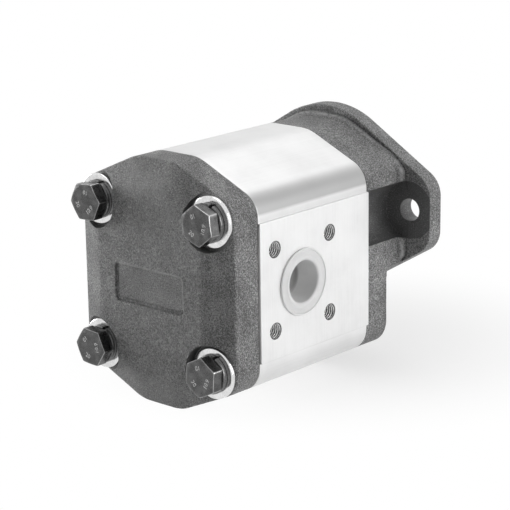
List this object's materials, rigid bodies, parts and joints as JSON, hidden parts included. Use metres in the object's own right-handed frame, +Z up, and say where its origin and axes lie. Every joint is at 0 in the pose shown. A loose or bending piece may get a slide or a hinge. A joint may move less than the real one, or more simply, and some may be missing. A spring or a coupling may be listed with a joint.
{
  "type": "hydraulic gear pump",
  "caption": "External gear pump: aluminium body between cast-iron covers, two-bolt flange with pilot, keyed shaft, flanged side ports closed with plugs.",
  "frame": {"origin": "centre of the pilot, on the mounting face of the flange", "axes": "+Y along the drive shaft away from the pump, +X towards the outlet port, +Z up, with the driven gear below the drive shaft"},
  "size_m": [0.1314, 0.1737, 0.125],
  "materials": {
    "cast_iron": "fine-grained as-cast, dark grey",
    "body_aluminium": "satin extruded",
    "gear_steel": "ground",
    "block_aluminium": "turned",
    "bearing_bronze": "bearing bronze, plain",
    "seal_rubber": "moulded, black",
    "backup_plastic": "plain",
    "spring_steel": "dark, oiled",
    "bright_steel": "ground",
    "black_steel": "black oxide, glossy",
    "zinc_steel": "bright zinc plate",
    "plug_plastic": "white polyethylene, slightly translucent"
  },
  "bodies": {
    "housing": {"rear_cover": "cast_iron", "pump_body": "body_aluminium", "front_cover": "cast_iron", "front_bearing_block": "block_aluminium", "rear_bearing_block": "block_aluminium", "front_drive_bush": "bearing_bronze", "front_driven_bush": "bearing_bronze", "rear_drive_bush": "bearing_bronze", "rear_driven_bush": "bearing_bronze", "front_body_seal": "seal_rubber", "rear_body_seal": "seal_rubber", "front_balance_seal": "seal_rubber", "rear_balance_seal": "seal_rubber", "front_backup_ring": "backup_plastic", "rear_backup_ring": "backup_plastic", "shaft_seal": "seal_rubber", "seal_circlip": "spring_steel", "cover_bolts": "black_steel", "spring_washers": "spring_steel", "flat_washers": "zinc_steel", "dowel_pins": "bright_steel"},
    "drive_shaft": {"drive_gear": "gear_steel", "shaft_key": "bright_steel"},
    "driven_gear": {"driven_gear": "gear_steel"},
    "outlet_plug": {"outlet_plug": "plug_plastic"},
    "inlet_plug": {"inlet_plug": "plug_plastic"}
  },
  "joints": [
    {"name": "shaft_spin", "type": "hinge", "parent": "housing", "child": "drive_shaft", "pos_m": [0, 0, 0], "axis": [0, 1, 0], "continuous": true},
    {"name": "driven_gear_spin", "type": "hinge", "parent": "housing", "child": "driven_gear", "pos_m": [0, 0, -0.039], "axis": [0, 1, 0], "continuous": true},
    {"name": "outlet_plug_pull", "type": "slide", "parent": "housing", "child": "outlet_plug", "axis": [1, 0, 0], "range_m": [0, 0.025]},
    {"name": "inlet_plug_pull", "type": "slide", "parent": "housing", "child": "inlet_plug", "axis": [-1, 0, 0], "range_m": [0, 0.025]}
  ],
  "couplings": [
    {"joint": "driven_gear_spin", "follows": "shaft_spin", "ratio": -1}
  ]
}
